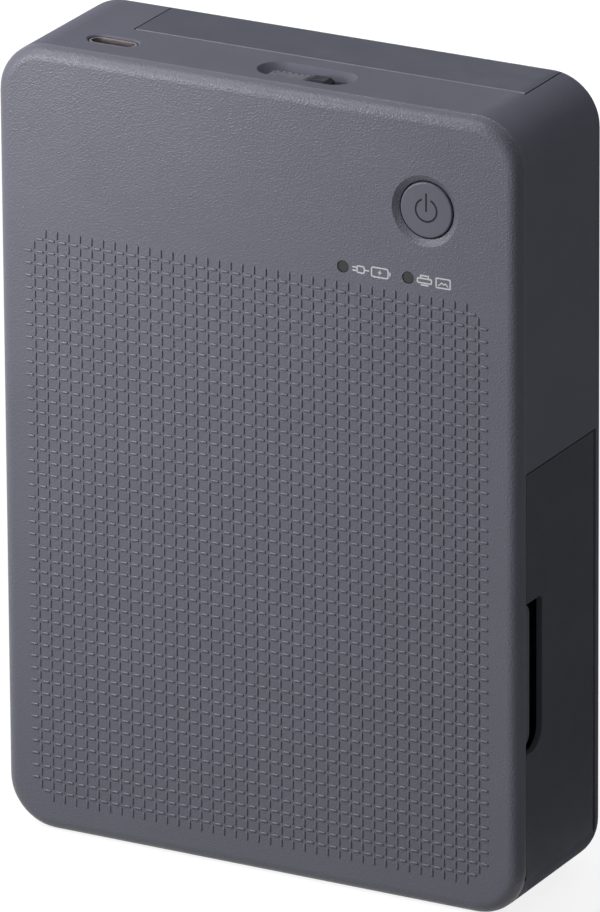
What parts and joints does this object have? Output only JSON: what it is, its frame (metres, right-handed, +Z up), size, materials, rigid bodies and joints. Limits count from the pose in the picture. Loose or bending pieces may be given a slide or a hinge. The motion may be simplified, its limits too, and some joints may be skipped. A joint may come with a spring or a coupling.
{
  "type": "compact photo printer",
  "caption": "Pocket dye-sublimation photo printer: flat rounded case with a power button, status lights, an ink door in one side and a hinged paper cover behind.",
  "frame": {"origin": "middle of the footprint, on the surface the printer stands on", "axes": "+X to the right across the front, +Y from the front to the back, +Z up along the long side"},
  "size_m": [0.1022, 0.033, 0.1458],
  "materials": {
    "front_plastic": "fine grained matt slate grey",
    "housing_plastic": "satin slate grey",
    "rear_plastic": "satin dark slate grey",
    "door_plastic": "satin near-black",
    "inner_plastic": "matt black",
    "gear_plastic": "natural moulded",
    "smoked_lens": "smoked, clear",
    "plated_steel": "zinc plated",
    "bright_steel": "ground",
    "screw_steel": "blackened",
    "head_metal": "extruded",
    "head_ceramic": "glazed line",
    "board_green": "solder mask",
    "foot_rubber": "matt",
    "roller_rubber": "ground",
    "ribbon": "dyed film",
    "print_paper": "glossy photo paper",
    "cell_wrap": "shrink wrap"
  },
  "bodies": {
    "housing": {"main_housing": "housing_plastic", "front_cover": "front_plastic", "hinge_pins": "bright_steel", "housing_screws": "screw_steel", "slider_retainer": "inner_plastic", "slider_spring": "bright_steel", "power_switch": "inner_plastic", "light_pipes": "smoked_lens", "main_board": "board_green", "board_screws": "screw_steel", "board_components": "inner_plastic", "radio_shield": "plated_steel", "usb_socket": "plated_steel", "usb_tongue": "inner_plastic", "engine_screws": "screw_steel", "left_frame_plate": "plated_steel", "right_frame_plate": "plated_steel", "frame_pins": "bright_steel", "roller_bushes": "gear_plastic", "motor_bracket": "inner_plastic", "feed_motor": "plated_steel", "ribbon_motor": "plated_steel", "paper_tray": "inner_plastic", "photo_paper": "print_paper", "exit_guide": "inner_plastic", "ink_cassette_frame": "inner_plastic", "ribbon_film": "ribbon", "head_springs": "bright_steel", "battery_pack": "cell_wrap"},
    "rear_cover": {"rear_cover": "rear_plastic", "rubber_feet": "foot_rubber", "paper_lift_plate": "plated_steel", "lift_springs": "bright_steel"},
    "ink_door": {"ink_door": "door_plastic"},
    "open_slider": {"open_slider": "front_plastic"},
    "power_button": {"power_button": "front_plastic", "switch_plunger": "inner_plastic"},
    "print_head": {"head_arm": "plated_steel", "head_heatsink": "head_metal", "thermal_head": "head_ceramic"},
    "platen": {"platen_shaft": "bright_steel", "platen_rubber": "roller_rubber", "platen_gear": "gear_plastic"},
    "capstan": {"capstan_shaft": "bright_steel", "capstan_gear": "gear_plastic"},
    "platen_idler": {"platen_idler_gear": "gear_plastic"},
    "reduction": {"reduction_gear": "gear_plastic"},
    "feed_motor_rotor": {"feed_motor_pinion": "gear_plastic"},
    "lower_idler": {"lower_feed_idler_gear": "gear_plastic"},
    "upper_idler": {"upper_feed_idler_gear": "gear_plastic"},
    "pickup_roller": {"pickup_shaft": "gear_plastic", "pickup_rubber": "roller_rubber"},
    "pinch_roller": {"pinch_roller": "bright_steel"},
    "take_up": {"take_up_drive": "gear_plastic", "take_up_spool": "gear_plastic", "take_up_ribbon_roll": "ribbon"},
    "ribbon_motor_rotor": {"ribbon_motor_pinion": "gear_plastic"},
    "supply": {"supply_spool": "gear_plastic", "supply_ribbon_roll": "ribbon"}
  },
  "joints": [
    {"name": "rear_cover_hinge", "type": "hinge", "parent": "housing", "child": "rear_cover", "pos_m": [0.0056, 0.01425, 0.0084], "axis": [-1, 0, 0], "range_deg": [0, 90]},
    {"name": "ink_door_hinge", "type": "hinge", "parent": "housing", "child": "ink_door", "pos_m": [0.05, 0.01105, 0.0446], "axis": [0, 0, 1], "range_deg": [0, 90]},
    {"name": "open_slider_slide", "type": "slide", "parent": "housing", "child": "open_slider", "axis": [1, 0, 0], "range_m": [0, 0.003], "stiffness_N_per_m": 200, "springref_m": -0.002, "deforming": ["slider_spring"]},
    {"name": "power_button_press", "type": "slide", "parent": "housing", "child": "power_button", "axis": [0, 1, 0], "range_m": [0, 0.0004], "stiffness_N_per_m": 800, "springref_m": -0.0005},
    {"name": "print_head_lift", "type": "hinge", "parent": "housing", "child": "print_head", "pos_m": [0.0056, -0.006, 0.052], "axis": [-1, 0, 0], "range_deg": [0, 6], "stiffness_Nm_per_rad": 0.5, "springref_deg": -17.19, "deforming": ["head_springs"]},
    {"name": "platen_spin", "type": "hinge", "parent": "housing", "child": "platen", "pos_m": [0.0056, 0.00905, 0.041], "axis": [1, 0, 0], "continuous": true},
    {"name": "capstan_spin", "type": "hinge", "parent": "housing", "child": "capstan", "pos_m": [0.0056, 0.00717, 0.0505], "axis": [1, 0, 0], "continuous": true},
    {"name": "platen_idler_spin", "type": "hinge", "parent": "housing", "child": "platen_idler", "pos_m": [0.0056, 0.00189, 0.04322], "axis": [1, 0, 0], "continuous": true},
    {"name": "reduction_spin", "type": "hinge", "parent": "housing", "child": "reduction", "pos_m": [0.0056, -0.0012, 0.05198], "axis": [1, 0, 0], "continuous": true},
    {"name": "feed_motor_spin", "type": "hinge", "parent": "housing", "child": "feed_motor_rotor", "pos_m": [0.0056, -0.00547, 0.04023], "axis": [1, 0, 0], "continuous": true},
    {"name": "lower_idler_spin", "type": "hinge", "parent": "housing", "child": "lower_idler", "pos_m": [0.0056, 0.00635, 0.05996], "axis": [1, 0, 0], "continuous": true},
    {"name": "upper_idler_spin", "type": "hinge", "parent": "housing", "child": "upper_idler", "pos_m": [0.0056, 0.00357, 0.06852], "axis": [1, 0, 0], "continuous": true},
    {"name": "pickup_spin", "type": "hinge", "parent": "housing", "child": "pickup_roller", "pos_m": [0.0056, 0.0042, 0.077], "axis": [1, 0, 0], "continuous": true},
    {"name": "pinch_spin", "type": "hinge", "parent": "housing", "child": "pinch_roller", "pos_m": [0.0056, 0.00332, 0.0505], "axis": [1, 0, 0], "continuous": true},
    {"name": "take_up_spin", "type": "hinge", "parent": "housing", "child": "take_up", "pos_m": [0.0056, -0.005, 0.019], "axis": [1, 0, 0], "continuous": true},
    {"name": "ribbon_motor_spin", "type": "hinge", "parent": "housing", "child": "ribbon_motor_rotor", "pos_m": [0.0056, 0.00487, 0.02259], "axis": [1, 0, 0], "continuous": true},
    {"name": "supply_spin", "type": "hinge", "parent": "housing", "child": "supply", "pos_m": [0.0056, -0.005, 0.064], "axis": [1, 0, 0], "continuous": true}
  ],
  "couplings": [
    {"joint": "capstan_spin", "follows": "platen_spin", "ratio": 0.7},
    {"joint": "platen_idler_spin", "follows": "platen_spin", "ratio": -0.875},
    {"joint": "reduction_spin", "follows": "platen_spin", "ratio": -1},
    {"joint": "feed_motor_spin", "follows": "platen_spin", "ratio": 2.5714},
    {"joint": "lower_idler_spin", "follows": "platen_spin", "ratio": -0.77778},
    {"joint": "upper_idler_spin", "follows": "platen_spin", "ratio": 0.77778},
    {"joint": "pickup_spin", "follows": "platen_spin", "ratio": -0.875},
    {"joint": "pinch_spin", "follows": "platen_spin", "ratio": -0.83125},
    {"joint": "ribbon_motor_spin", "follows": "take_up_spin", "ratio": -2},
    {"joint": "supply_spin", "follows": "take_up_spin", "ratio": -0.66667}
  ]
}
